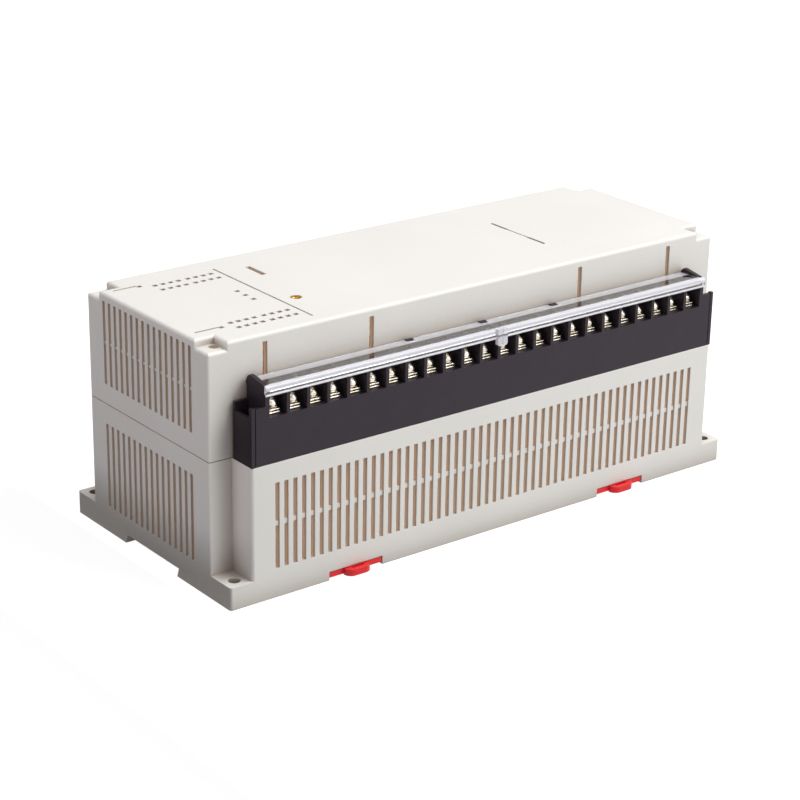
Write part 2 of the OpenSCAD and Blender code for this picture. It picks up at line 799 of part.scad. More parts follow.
module block_end() {
    // tall end wall, set back behind the cover lip
    span(field_half, body_half, -half_depth, -back_y0, parting_h, divider_top);
    translate([field_half, -hinge_y, hinge_z]) rotate([0, 90, 0]) cylinder(r = lug_r, h = end_wall_t);
    translate([field_half, 0, 0]) rotate([90, 0, 90]) linear_extrude(end_wall_t)
        polygon([[-back_y0, divider_top - eps], [-back_y0, end_wall_top - end_wall_chamfer],
            [-back_y0 - end_wall_chamfer, end_wall_top], [-hinge_y - 1, end_wall_top],
            [-end_notch_y, end_wall_top - end_wall_fall], [-end_notch_y, divider_top - eps]]);
    // wing with its screw seat
    span(body_half - eps, block_half, -half_depth, -back_y0, parting_h, wing_seat);
    span(body_half - eps, block_half, -half_depth, -panel_y, parting_h, wing_top);
    span(block_half - post_w, block_half, -half_depth, -panel_y, parting_h, wing_top + post_rise);
    span(body_half - eps, block_half, -back_y1, -back_y0, parting_h, wing_top);
    span(block_half - wing_wall, block_half, -half_depth, -back_y0, parting_h, wing_end_top);
}

module hinge_lug() {
    hang = 5;
    translate([-lug_w / 2, -hinge_y, hinge_z]) rotate([0, 90, 0]) cylinder(r = lug_r, h = lug_w);
    span(-lug_w / 2, lug_w / 2, -hinge_y - lug_r, -back_y0, hinge_z - hang, hinge_z);
}

module terminal_block() {
    difference() {
        union() {
            block_body();
            for (x = [-lug_x, 0, lug_x]) translate([x, 0, 0]) hinge_lug();
        }
        translate([pin_skin - body_half, -hinge_y, hinge_z]) rotate([0, 90, 0])
            cylinder(d = hinge_pin_d + 2 * hinge_play, h = 2 * (body_half - pin_skin));
        for (s = [-1, 1]) translate([s * wing_x, -wing_y, parting_h - over])
            cylinder(d = wing_screw_d + 2 * hole_gap, h = wing_seat_h + 2 * over);
        both_ends() span(block_half - post_w - post_groove, block_half - post_w,
            -half_depth - over, -half_depth + post_groove_cut, parting_h - over, wing_top + over);
        for (x = way_x) translate([x, 0, 0]) {
            translate([0, -screw_y, floor_top - floor_t - over])
                cylinder(d = screw_d + 2 * bore_gap, h = floor_t + 2 * over, $fn = 24);
            span(-pin_w / 2 - pin_gap, pin_w / 2 + pin_gap, -pin_y - pin_gap,
                -plate_rear + pin_gap, floor_top - floor_t - over, floor_top + over);
        }
    }
}

// flat contact with a solder pin at its rear edge
module contact_plate() {
    difference() {
        span(-plate_half, plate_half, -plate_front, -plate_rear, floor_top, floor_top + plate_t);
        translate([0, -screw_y, floor_top - over])
            cylinder(d = screw_d + 2 * thread_gap, h = plate_t + 2 * over, $fn = 24);
    }
    span(-pin_w / 2, pin_w / 2, -pin_y, -plate_rear, pin_end, floor_top + eps);
}

// square clamp plate that is held under the screw head
module clamp_plate() {
    translate([0, -screw_y, clamp_z]) difference() {
        translate([-clamp_w / 2, -clamp_w / 2, 0]) cube([clamp_w, clamp_w, plate_t]);
        translate([0, 0, -over])
            cylinder(d = screw_d + 2 * bore_gap, h = plate_t + 2 * over, $fn = 24);
    }
}

module spring_washer() {
    translate([0, -screw_y, washer_z]) difference() {
        cylinder(d = washer_d, h = washer_t);
        translate([0, 0, -over]) cylinder(d = screw_d + 2 * bore_gap, h = washer_t + 2 * over, $fn = 24);
        rotate([0, 0, -30]) translate([0, -0.25, -over]) cube([washer_d, 0.5, washer_t + 2 * over]);
    }
}

module terminal_screw() {
    translate([0, -screw_y, head_z]) pan_screw(screw_d, screw_head_d, screw_head_h, screw_len);
}

module block_screws() {
    for (s = [-1, 1]) translate([s * wing_x, -wing_y, wing_seat])
        pan_screw(wing_screw_d, wing_screw_head_d, wing_screw_head_h,
            wing_seat_h + wall + wing_screw_grip - 1.5);
}

// ---- clear covers ----

// cross-section of a cover: plate, front lip and bead, seen from the end
module cover_profile() {
    rise_y = cover_front - fold_r;
    polygon([[-cover_back, cover_top_back], [-rise_y, cover_top_front],
        [-rise_y, cover_top_front - cover_t], [-cover_back, cover_top_back - cover_t]]);
    translate([-rise_y, cover_top_front - fold_r]) circle(fold_r);
    // thick bar, thinner lip, and the bead that hangs in front of the block
    translate([-cover_front, bar_low]) square([lip_t, cover_top_front - fold_r - bar_low]);
    translate([lip_step - cover_front, lip_low]) square([lip_t - lip_step, bar_low - lip_low + eps]);
    skirt_y = half_depth + skirt_gap;
    translate([lip_step - cover_front, bead_low])
        square([cover_front - lip_step - skirt_y, bar_low - bead_low]);
    bead_r = bead_h / 2;
    bead_y = cover_front + bead_reach - bead_r;
    translate([-bead_y, bead_low]) square([bead_y - skirt_y, bead_h]);
    translate([-bead_y, bead_low + bead_r]) circle(bead_r, $fn = 24);
}

// full-length cover, reaching in front of both end walls
module cover_half() {
    inner = cover_gap / 2;
    plate_end = field_half - cover_side_gap;
    difference() {
        union() {
            translate([inner, 0, 0]) rotate([90, 0, 90]) linear_extrude(plate_end - inner)
                cover_profile();
            translate([inner, 0, 0]) rotate([90, 0, 90]) linear_extrude(body_half - inner)
                intersection() {
                    cover_profile();
                    translate([-cover_front - over, bead_low - over])
                        square([lip_t + over, 2 * divider_h]);
                }
            hinge_rod(inner, knuckle_x + knuckle_len - inner, barrel_r);
            hinge_rod(lug_x - knuckle_x - knuckle_len, 2 * (knuckle_x + knuckle_len), barrel_r);
            hinge_rod(plate_end - knuckle_len, knuckle_len, barrel_r);
            grip();
        }
        // room round the lugs
        for (x = [0, lug_x])
            span(x - knuckle_x, x + knuckle_x,
                -hinge_y - lug_r - lug_side_gap, -core_half, lip_low + eps, total_h);
    }
    hinge_rod(inner + 0.1, knuckle_x + 1, hinge_pin_d / 2);
    hinge_rod(lug_x - knuckle_x - 1, 2 * knuckle_x + 2, hinge_pin_d / 2);
    hinge_rod(plate_end - 1, body_half - pin_end_gap - plate_end + 1, hinge_pin_d / 2);
}

// round rod along the hinge line
module hinge_rod(x, len, r) {
    translate([x, -hinge_y, hinge_z]) rotate([0, 90, 0]) cylinder(r = r, h = len);
}

module grip() {
    x0 = cover_gap / 2;
    bottom_r = grip_w / 2;
    mid_x = x0 + bottom_r;
    translate([0, -grip_y1, 0]) rotate([-90, 0, 0]) mirror([0, 1, 0])
        linear_extrude(grip_y1 - grip_y0) {
            translate([x0, grip_low + bottom_r]) square([grip_w, grip_top - grip_low - bottom_r]);
            translate([mid_x, grip_low + bottom_r]) circle(bottom_r);
        }
}

// ---- rail clips ----

module clip_side() {
    polygon([[-clip_front, clip_low], [-clip_front, clip_low + clip_t],
        [-clip_step - 0.8, clip_low + clip_t], [-clip_step, nose_top],
        [-clip_tip, nose_top], [-clip_tip, nose_top - 0.5], [-clip_tip - 0.9, clip_low]]);
}

module rail_clip() {
    color("#e11928") difference() {
        union() {
            rotate([90, 0, 90]) linear_extrude(clip_w, center = true) clip_side();
            translate([0, 0, clip_low - tab_drop]) linear_extrude(clip_t + tab_drop)
                intersection() {
                    translate([0, -clip_front]) rounded_rect(tab_w, 2 * tab_reach, tab_r);
                    translate([-tab_w, -clip_front - tab_reach - over])
                        square([2 * tab_w, tab_reach + over + eps]);
                }
        }
        span(-window_w / 2, window_w / 2, -stop_front - stop_gap,
            -stop_front - stop_gap + window_len, 0, channel_depth);
        span(-tab_slot_len / 2, tab_slot_len / 2, -clip_front - 0.4 - tab_slot_w,
            -clip_front - 0.4, 0, channel_depth);
    }
}

module black_plastic() { color("#3b3a3c") children(); }
module clear_plastic() { color([0.92, 0.94, 0.95, 0.45]) children(); }
module nickel() { color("#cfc6b4") children(); }
module turned() { rotate([0, 0, 180]) children(); }
module row() { for (x = way_x) translate([x, 0, 0]) children(); }

lower_housing();
upper_housing();
black_plastic() terminal_block();  // front_terminal_block
turned() black_plastic() terminal_block();  // rear_terminal_block
nickel() row() contact_plate();  // front_contact_plates
turned() nickel() row() contact_plate();  // rear_contact_plates
nickel() row() clamp_plate();  // front_clamp_plates
turned() nickel() row() clamp_plate();  // rear_clamp_plates
nickel() row() spring_washer();  // front_spring_washers
turned() nickel() row() spring_washer();  // rear_spring_washers
nickel() row() terminal_screw();  // front_terminal_screws
turned() nickel() row() terminal_screw();  // rear_terminal_screws
nickel() block_screws();  // front_block_screws
turned() nickel() block_screws();  // rear_block_screws
housing_screws();
adjuster_insert();
mirror([1, 0, 0]) clear_plastic() cover_half();  // front_cover_left
clear_plastic() cover_half();  // front_cover_right
turned() clear_plastic() cover_half();  // rear_cover_left
turned() mirror([1, 0, 0]) clear_plastic() cover_half();  // rear_cover_right
translate([-clip_x, 0, 0]) rail_clip();  // rail_clip_left
translate([clip_x, 0, 0]) rail_clip();  // rail_clip_right
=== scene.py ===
"""Looks of a rail-mount control-gear enclosure.

Two cream moulded shells, two black terminal blocks with plated metal, four clear covers
and two red rail clips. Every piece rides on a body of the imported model.
"""

import logging
import math
from dataclasses import dataclass, field, replace
from enum import Enum
from typing import Any, Iterable, Sequence

import bmesh
import bpy
from mathutils import Matrix, Vector


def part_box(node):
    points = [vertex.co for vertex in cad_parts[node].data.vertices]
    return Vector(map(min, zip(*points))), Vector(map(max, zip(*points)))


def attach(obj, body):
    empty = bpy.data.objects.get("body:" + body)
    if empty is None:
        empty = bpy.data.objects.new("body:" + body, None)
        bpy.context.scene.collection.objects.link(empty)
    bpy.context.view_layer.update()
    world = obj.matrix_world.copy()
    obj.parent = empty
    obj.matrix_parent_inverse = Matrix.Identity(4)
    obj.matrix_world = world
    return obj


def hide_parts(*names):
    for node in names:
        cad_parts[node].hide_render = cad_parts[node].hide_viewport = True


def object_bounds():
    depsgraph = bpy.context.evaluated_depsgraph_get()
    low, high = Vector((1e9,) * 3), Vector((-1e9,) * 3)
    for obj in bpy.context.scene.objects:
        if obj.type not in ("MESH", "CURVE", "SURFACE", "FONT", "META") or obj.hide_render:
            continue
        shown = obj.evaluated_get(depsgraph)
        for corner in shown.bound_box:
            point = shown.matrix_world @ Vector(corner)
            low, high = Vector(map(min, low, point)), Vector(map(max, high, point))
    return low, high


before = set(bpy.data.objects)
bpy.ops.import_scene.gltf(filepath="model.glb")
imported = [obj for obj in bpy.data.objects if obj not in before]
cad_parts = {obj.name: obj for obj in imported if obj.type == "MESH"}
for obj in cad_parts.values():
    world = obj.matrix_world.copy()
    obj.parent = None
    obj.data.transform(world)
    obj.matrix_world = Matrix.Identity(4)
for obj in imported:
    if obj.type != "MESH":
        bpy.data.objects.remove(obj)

logging.basicConfig(level=logging.INFO, format="%(message)s")
LOG = logging.getLogger("enclosure")
MM = 0.001
CREASE_DEG = 38.0
CAD_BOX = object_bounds()


def linear(colour: str) -> tuple[float, float, float, float]:
    """Turns an sRGB hex colour into the linear colour that a socket takes.

    Args:
        colour: Six hex digits after a hash.

    Returns:
        Red, green, blue and alpha, each from 0 to 1.
    """
    parts = [int(colour[i:i + 2], 16) / 255 for i in (1, 3, 5)]
    red, green, blue = (c / 12.92 if c <= 0.04045 else ((c + 0.055) / 1.055) ** 2.4 for c in parts)
    return red, green, blue, 1.0


def add_node(tree: bpy.types.NodeTree, kind: str, settings: dict[str, Any] | None = None,
             links: dict[str | int, bpy.types.NodeSocket] | None = None,
             **inputs: Any) -> bpy.types.Node:
    """Adds one shader node.

    Args:
        tree: The material's node tree.
        kind: The node's type name without the ShaderNode prefix.
        settings: Properties of the node itself.
        links: Sockets that feed the node's inputs, by input name or index.
        inputs: Input values, with underscores for spaces.

    Returns:
        The new node.
    """
    made = tree.nodes.new("ShaderNode" + kind)
    for name, value in (settings or {}).items():
        setattr(made, name, value)
    for name, value in inputs.items():
        made.inputs[name.replace("_", " ")].default_value = value
    for key, socket in (links or {}).items():
        tree.links.new(socket, made.inputs[key])
    return made


def ramp(tree: bpy.types.NodeTree, fac: bpy.types.NodeSocket,
         stops: Sequence[tuple[float, str]]) -> bpy.types.NodeSocket:
    """Adds a colour ramp with sRGB stops.

    Args:
        tree: The material's node tree.
        fac: The value that the ramp reads.
        stops: Position and hex colour of each stop.

    Returns:
        The ramp's colour output.
    """
    made = add_node(tree, "ValToRGB", links={"Fac": fac})
    elements = made.color_ramp.elements
    while len(elements) < len(stops):
        elements.new(0.5)
    for element, (position, colour) in zip(elements, stops):
        element.position = position
        element.color = linear(colour)
    return made.outputs["Color"]


def maths(tree: bpy.types.NodeTree, operation: str, first: bpy.types.NodeSocket | float,
          second: bpy.types.NodeSocket | float = 0.0) -> bpy.types.NodeSocket:
    """Adds one sum of two values.

    Args:
        tree: The material's node tree.
        operation: The math node's operation.
        first: First value or socket.
        second: Second value or socket.

    Returns:
        The result's socket.
    """
    made = add_node(tree, "Math", {"operation": operation})
    for index, value in enumerate((first, second)):
        if isinstance(value, bpy.types.NodeSocket):
            tree.links.new(value, made.inputs[index])
        else:
            made.inputs[index].default_value = value
    return made.outputs[0]


def step(tree: bpy.types.NodeTree, value: bpy.types.NodeSocket, start: float,
         end: float, low: float = 0.0, high: float = 1.0) -> bpy.types.NodeSocket:
    """Turns a value into a smooth step.

    Args:
        tree: The material's node tree.
        value: The socket to read.
        start: Value at which the step starts.
        end: Value at which it ends.
        low: Result before the step.
        high: Result after it.

    Returns:
        The result's socket.
    """
    made = add_node(tree, "MapRange", {"interpolation_type": "SMOOTHSTEP"}, {"Value": value},
                    From_Min=start, From_Max=end, To_Min=low, To_Max=high)
    return made.outputs["Result"]


def span(tree: bpy.types.NodeTree, value: bpy.types.NodeSocket, low: float, high: float,
         start: float = 0.0) -> bpy.types.NodeSocket:
    """Turns a value into a straight slope.

    Args:
        tree: The material's node tree.
        value: The socket to read.
        low: Result at the slope's start.
        high: Result where the value is 1.
        start: Value at which the slope starts.

    Returns:
        The result's socket.
    """
    made = add_node(tree, "MapRange", links={"Value": value},
                    From_Min=start, To_Min=low, To_Max=high)
    return made.outputs["Result"]


def blend(tree: bpy.types.NodeTree, share: bpy.types.NodeSocket, first: bpy.types.NodeSocket | str,
          second: bpy.types.NodeSocket | str) -> bpy.types.NodeSocket:
    """Blends two colours.

    Args:
        tree: The material's node tree.
        share: Share of the second colour.
        first: Hex colour or socket.
        second: Hex colour or socket.

    Returns:
        The blended colour's socket.
    """
    made = add_node(tree, "Mix", {"data_type": "RGBA"}, {0: share})
    for index, value in ((6, first), (7, second)):
        if isinstance(value, str):
            made.inputs[index].default_value = linear(value)
        else:
            tree.links.new(value, made.inputs[index])
    return made.outputs[2]


def new_material(name: str) -> tuple[bpy.types.Material, bpy.types.NodeTree, bpy.types.Node]:
    """Makes an empty material with a principled shader.

    Args:
        name: The material's name.

    Returns:
        The material, its tree and its principled node.
    """
    material = bpy.data.materials.new(name)
    material.use_nodes = True
    tree = material.node_tree
    return material, tree, tree.nodes["Principled BSDF"]


# ABS, injection moulded in a spark-eroded tool: a fine matt grain that scatters the
# highlight, a warm off-white that drifts a little over large areas, and soft edges.
@dataclass(frozen=True)
class MouldedAbs:
    """Cream ABS of the two shells."""

    name: str = "moulded ABS, fine matt, cream"
    pale: str = "#e6e3e0"
    deep: str = "#e1deda"
    # painted light: warm colour and glow of the inner faces and slots
    inner: str = "#f4dac0"
    roughness: float = 0.5
    spread: tuple[float, float] = (-0.06, 0.06)
    ior: float = 1.54
    grain_mm: float = 0.35
    grain_depth_mm: float = 0.006
    drift_mm: float = 60.0
    edge_mm: float = 0.4
    plinth_mm: float = 9.2
    recess_mm: tuple[float, float, float] = (8.4, 8.8, 3.0)
    glow_mm: tuple[float, float] = (0.2, 1.8)
    # painted shade in corners: its brown, its reach and where it fades out
    corner: str = "#a8998c"
    painted_shade_mm: float = 14.0
    painted_shade_open: tuple[float, float] = (0.1, 0.95)
    # strength of the painted glow of the inner faces
    through: float = 0.08

    def blocks(self) -> list[tuple[float, float, float]]:
        """Lists the blocks that make up the outside: half length, half depth and top, in mm."""
        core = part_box("upper_housing")[1] / MM
        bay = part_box("lower_housing")[1] / MM
        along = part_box("front_terminal_block")[1].x / MM
        length, depth, drop = self.recess_mm
        return [(core.x, core.y - depth, core.z), (core.x - length, core.y, core.z),
                (core.x, core.y, core.z - drop), (along, bay.y, bay.z)]

    def inside(self, tree: bpy.types.NodeTree, place: bpy.types.NodeSocket) -> bpy.types.NodeSocket:
        """Measures how far a point lies behind the outside faces.

        Args:
            tree: The material's node tree.
            place: The point in the object's own frame.

        Returns:
            A socket from 0 on the outside to 1 inside the walls.
        """
        point = add_node(tree, "SeparateXYZ", links={0: place})
        across = maths(tree, "ABSOLUTE", point.outputs["X"])
        along = maths(tree, "ABSOLUTE", point.outputs["Y"])
        height = point.outputs["Z"]
        depth: bpy.types.NodeSocket | float = -1.0
        for length, width, top in self.blocks():
            here = maths(tree, "MINIMUM", maths(tree, "SUBTRACT", length * MM, across),
                         maths(tree, "SUBTRACT", width * MM, along))
            here = maths(tree, "MINIMUM", here, maths(tree, "SUBTRACT", top * MM, height))
            depth = maths(tree, "MAXIMUM", depth, here)
        depth = maths(tree, "MINIMUM", depth, maths(tree, "SUBTRACT", height, self.plinth_mm * MM))
        return step(tree, depth, self.glow_mm[0] * MM, self.glow_mm[1] * MM)

    def make(self) -> bpy.types.Material:
        """Builds the material with grain, drift, softened edges, painted corner shade and a painted
        warm inner glow.
        """
        material, tree, shader = new_material(self.name)
        place = add_node(tree, "TexCoord").outputs["Object"]
        drift = add_node(tree, "TexNoise", links={"Vector": place}, Scale=1 / (self.drift_mm * MM),
                         Detail=2.0)
        outer = ramp(tree, drift.outputs["Fac"], [(0.3, self.deep), (0.7, self.pale)])
        # painted shade: corners that little light reaches are darkened towards brown in the colour
        corner = add_node(tree, "AmbientOcclusion", {"samples": 6}, Distance=self.painted_shade_mm * MM)
        unshaded_share = step(tree, corner.outputs["AO"], *self.painted_shade_open)
        shaded = add_node(tree, "Mix", {"data_type": "RGBA", "blend_type": "MULTIPLY"}, {6: outer})
        shaded.inputs[0].default_value = 1.0
        tree.links.new(blend(tree, unshaded_share, self.corner, "#ffffff"), shaded.inputs[7])
        # painted light: inner faces and slots are tinted warm and glow faintly, standing in for
        # light that crosses the thin pale walls
        painted_glow_share = self.inside(tree, place)
        colour = blend(tree, painted_glow_share, shaded.outputs[2], self.inner)
        shader.inputs["Emission Color"].default_value = linear(self.inner)
        tree.links.new(maths(tree, "MULTIPLY", painted_glow_share, self.through),
                       shader.inputs["Emission Strength"])
        # spark-eroded grain is about 0.1 mm; it is drawn at a third of a millimetre to show
        grain = add_node(tree, "TexNoise", links={"Vector": place}, Scale=1 / (self.grain_mm * MM),
                         Detail=3.0, Roughness=0.6)
        edge = add_node(tree, "Bevel", {"samples": 6}, Radius=self.edge_mm * MM)
        bump = add_node(tree, "Bump", links={"Height": grain.outputs["Fac"],
                                             "Normal": edge.outputs["Normal"]},
                        Strength=0.35, Distance=self.grain_depth_mm * MM)
        sheen = span(tree, grain.outputs["Fac"], *(self.roughness + part for part in self.spread))
        tree.links.new(colour, shader.inputs["Base Color"])
        tree.links.new(sheen, shader.inputs["Roughness"])
        tree.links.new(bump.outputs["Normal"], shader.inputs["Normal"])
        shader.inputs["IOR"].default_value = self.ior
        return material


# Glass-filled nylon, injection moulded, black: satin, with a slightly violet grey where
# light grazes it and faint flow marks from the moulding.
@dataclass(frozen=True)
class BlackNylon:
    """Black plastic of the terminal blocks."""

    name: str = "moulded nylon, satin, black"
    pale: str = "#241e24"
    deep: str = "#1c181d"
    roughness: float = 0.4
    spread: tuple[float, float] = (-0.05, 0.07)
    gloss: float = 0.32
    sheen: str = "#efe0f2"
    ior: float = 1.53
    flow_mm: float = 9.0
    grain_mm: float = 0.3
    edge_mm: float = 0.15

    def make(self) -> bpy.types.Material:
        """Builds the material with flow marks and a fine grain."""
        material, tree, shader = new_material(self.name)
        place = add_node(tree, "TexCoord").outputs["Object"]
        flow = add_node(tree, "TexNoise", links={"Vector": place}, Scale=1 / (self.flow_mm * MM),
                        Detail=4.0, Distortion=0.4)
        colour = ramp(tree, flow.outputs["Fac"], [(0.3, self.deep), (0.7, self.pale)])
        grain = add_node(tree, "TexNoise", links={"Vector": place}, Scale=1 / (self.grain_mm * MM),
                         Detail=2.0)
        edge = add_node(tree, "Bevel", {"samples": 6}, Radius=self.edge_mm * MM)
        bump = add_node(tree, "Bump", links={"Height": grain.outputs["Fac"],
                                             "Normal": edge.outputs["Normal"]},
                        Strength=0.2, Distance=0.004 * MM)
        sheen = span(tree, flow.outputs["Fac"], *(self.roughness + part for part in self.spread))
        tree.links.new(colour, shader.inputs["Base Color"])
        tree.links.new(sheen, shader.inputs["Roughness"])
        tree.links.new(bump.outputs["Normal"], shader.inputs["Normal"])
        shader.inputs["IOR"].default_value = self.ior
        shader.inputs["Specular IOR Level"].default_value = self.gloss
        shader.inputs["Specular Tint"].default_value = linear(self.sheen)
        return material


# Polycarbonate, injection moulded in a polished tool: clear, with a trace of waviness in the flat
# plate,
# and a painted highlight: milky white where an edge or a fold gathers the light.
@dataclass(frozen=True)
class ClearPolycarbonate:
    """Clear plastic of the hinged covers."""

    name: str = "moulded polycarbonate, polished, clear"
    tint: str = "#f6f7f9"
    # painted highlight: milky white of the bar, the bead and the hinge band, and how much of them it
    # covers
    edge_glow_tint: str = "#e9e7f0"
    edge_glow_share: float = 0.72
    roughness: float = 0.01
    haze: float = 0.25
    ior: float = 1.58
    wave_mm: float = 14.0
    bar_t_mm: float = 1.4
    bar_h_mm: float = 2.0
    clear_h_mm: float = 1.25
    grip_mm: tuple[float, float] = (1.2, 0.2)
    # where and how strongly the hinge band gets its painted highlight
    hinge_band_mm: tuple[float, float] = (47.6, 48.0)
    hinge_highlight: float = 0.5
    see_through: float = 0.9

    def thick(self, tree: bpy.types.NodeTree, place: bpy.types.NodeSocket) -> bpy.types.NodeSocket:
        """Finds where the highlight is painted: the thick bar along the front edge, the bead under
        it and the hinge band.

        Args:
            tree: The material's node tree.
            place: The point in the object's own frame.

        Returns:
            A socket from 0 in the thin plate to 1 in the bar.
        """
        low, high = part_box("front_cover_left")
        reach, rise = (size * MM for size in self.grip_mm)
        point = add_node(tree, "SeparateXYZ", links={0: place})
        out = maths(tree, "ABSOLUTE", point.outputs["Y"])
        height = point.outputs["Z"]
        rear = -low.y - reach - self.bar_t_mm * MM
        bar_low = high.z - rise - self.bar_h_mm * MM
        bead_top = bar_low - self.clear_h_mm * MM
        forward = step(tree, out, rear, rear + 0.3 * MM)
        bar = step(tree, height, bar_low - 0.05 * MM, bar_low + 0.1 * MM)
        bead = step(tree, height, bead_top - 0.1 * MM, bead_top + 0.1 * MM, 0.8, 0.1)
        start, end = (edge * MM for edge in self.hinge_band_mm)
        band = step(tree, out, start, end, self.hinge_highlight, 0.0)
        return maths(tree, "MAXIMUM", band,
                     maths(tree, "MULTIPLY", forward, maths(tree, "MAXIMUM", bar, bead)))

    def make(self) -> bpy.types.Material:
        """Builds the material with a slight waviness and a painted highlight: a milky bar.

        Returns:
            The material, which lets the light on to what lies behind it.
        """
        material, tree, shader = new_material(self.name)
        place = add_node(tree, "TexCoord").outputs["Object"]
        wave = add_node(tree, "TexNoise", links={"Vector": place}, Scale=1 / (self.wave_mm * MM),
                        Detail=1.0)
        bump = add_node(tree, "Bump", links={"Height": wave.outputs["Fac"]}, Strength=0.15,
                        Distance=0.03 * MM)
        # painted highlight: the thick sections are milky white and less clear, standing in for the
        # light that they gather at their edges
        thick = self.thick(tree, place)
        haze = maths(tree, "ADD", maths(tree, "MULTIPLY", thick, self.haze),
                     maths(tree, "MULTIPLY", wave.outputs["Fac"], self.roughness))
        tree.links.new(haze, shader.inputs["Roughness"])
        tree.links.new(bump.outputs["Normal"], shader.inputs["Normal"])
        tree.links.new(blend(tree, thick, self.tint, self.edge_glow_tint), shader.inputs["Base Color"])
        tree.links.new(maths(tree, "SUBTRACT", 1.0, maths(tree, "MULTIPLY", thick, self.edge_glow_share)),
                       shader.inputs["Transmission Weight"])
        shader.inputs["IOR"].default_value = self.ior
        # soft light crosses the thin plate straight on, so no dark shadow lies behind it
        path = add_node(tree, "LightPath")
        soft = maths(tree, "MAXIMUM", path.outputs["Is Shadow Ray"], path.outputs["Is Diffuse Ray"])
        clear = add_node(tree, "BsdfTransparent")
        share = maths(tree, "MULTIPLY", soft, maths(tree, "SUBTRACT", self.see_through,
                                                    maths(tree, "MULTIPLY", thick, 0.5)))
        mixed = add_node(tree, "MixShader",
                         links={0: share, 1: shader.outputs[0], 2: clear.outputs[0]})
        tree.links.new(mixed.outputs[0], tree.nodes["Material Output"].inputs["Surface"])
        return material


# Acetal, injection moulded, red: saturated and waxy, with a soft gloss along its edges.
@dataclass(frozen=True)
class RedAcetal:
    """Red plastic of the rail clips."""

    name: str = "moulded acetal, glossy, red"
    pale: str = "#e5101c"
    deep: str = "#d80a14"
    roughness: float = 0.34
    spread: tuple[float, float] = (-0.05, 0.08)
    ior: float = 1.48
    drift_mm: float = 8.0
    edge_mm: float = 0.25

    def make(self) -> bpy.types.Material:
        """Builds the material with a slight drift of colour."""
        material, tree, shader = new_material(self.name)
        place = add_node(tree, "TexCoord").outputs["Object"]
        drift = add_node(tree, "TexNoise", links={"Vector": place}, Scale=1 / (self.drift_mm * MM),
                         Detail=3.0)
        colour = ramp(tree, drift.outputs["Fac"], [(0.35, self.deep), (0.65, self.pale)])
        edge = add_node(tree, "Bevel", {"samples": 6}, Radius=self.edge_mm * MM)
        sheen = span(tree, drift.outputs["Fac"], *(self.roughness + part for part in self.spread))
        tree.links.new(colour, shader.inputs["Base Color"])
        tree.links.new(sheen, shader.inputs["Roughness"])
        tree.links.new(edge.outputs["Normal"], shader.inputs["Normal"])
        shader.inputs["IOR"].default_value = self.ior
        return material


# Stamped or turned steel and brass with a bright plating: a clear metal gloss, broken by
# fine tool lines and small stains, so that each edge catches light on its own.
@dataclass(frozen=True)
class PlatedMetal:
    """Plated or bare metal of the small parts."""

    name: str
    pale: str
    deep: str
    roughness: float = 0.24
    spread: tuple[float, float] = (-0.08, 0.12)
    stain_mm: float = 1.6
    line_mm: float = 0.25

    def make(self) -> bpy.types.Material:
        """Builds the material with stains and tool lines."""
        material, tree, shader = new_material(self.name)
        place = add_node(tree, "TexCoord").outputs["Object"]
        stain = add_node(tree, "TexNoise", links={"Vector": place}, Scale=1 / (self.stain_mm * MM),
                         Detail=4.0)
        colour = ramp(tree, stain.outputs["Fac"], [(0.35, self.deep), (0.6, self.pale)])
        lines = add_node(tree, "TexNoise", links={"Vector": place}, Scale=1 / (self.line_mm * MM),
                         Detail=2.0)
        bump = add_node(tree, "Bump", links={"Height": lines.outputs["Fac"]}, Strength=0.25,
                        Distance=0.01 * MM)
        sheen = span(tree, stain.outputs["Fac"], *(self.roughness + part for part in self.spread))
        tree.links.new(colour, shader.inputs["Base Color"])
        tree.links.new(sheen, shader.inputs["Roughness"])
        tree.links.new(bump.outputs["Normal"], shader.inputs["Normal"])
        shader.inputs["Metallic"].default_value = 1.0
        return material


NICKEL = PlatedMetal("nickel-plated steel, stamped", "#efe9de", "#b8a88f", 0.2)
ZINC = PlatedMetal("zinc-plated steel, turned", "#d6d6d2", "#b4b4ae", 0.3)
BRASS = PlatedMetal("brass, turned", "#f0c873", "#c2913c", 0.25)


class Finishes:
    """Makes each finish once and hands it out by name."""

    def __init__(self) -> None:
        """Builds all finishes."""
        self.cream = MouldedAbs().make()
        self.black = BlackNylon().make()
        self.clear = ClearPolycarbonate().make()
        self.red = RedAcetal().make()
        self.nickel = NICKEL.make()
        self.zinc = ZINC.make()
        self.brass = BRASS.make()


class Side(Enum):
    """Side of the housing that a terminal block stands on."""

    FRONT = "front"
    REAR = "rear"

    def turn(self) -> Matrix:
        """Returns the turn from the front side to this side."""
        return Matrix.Rotation(0.0 if self is Side.FRONT else math.pi, 4, "Z")


def dress(node: str, material: bpy.types.Material) -> bpy.types.Object:
    """Gives a CAD node its finish.

    Args:
        node: The node's name.
        material: The finish.

    Returns:
        The node's object.
    """
    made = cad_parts[node]
    made.data.materials.clear()
    made.data.materials.append(material)
    return made


Loop = list[Vector]


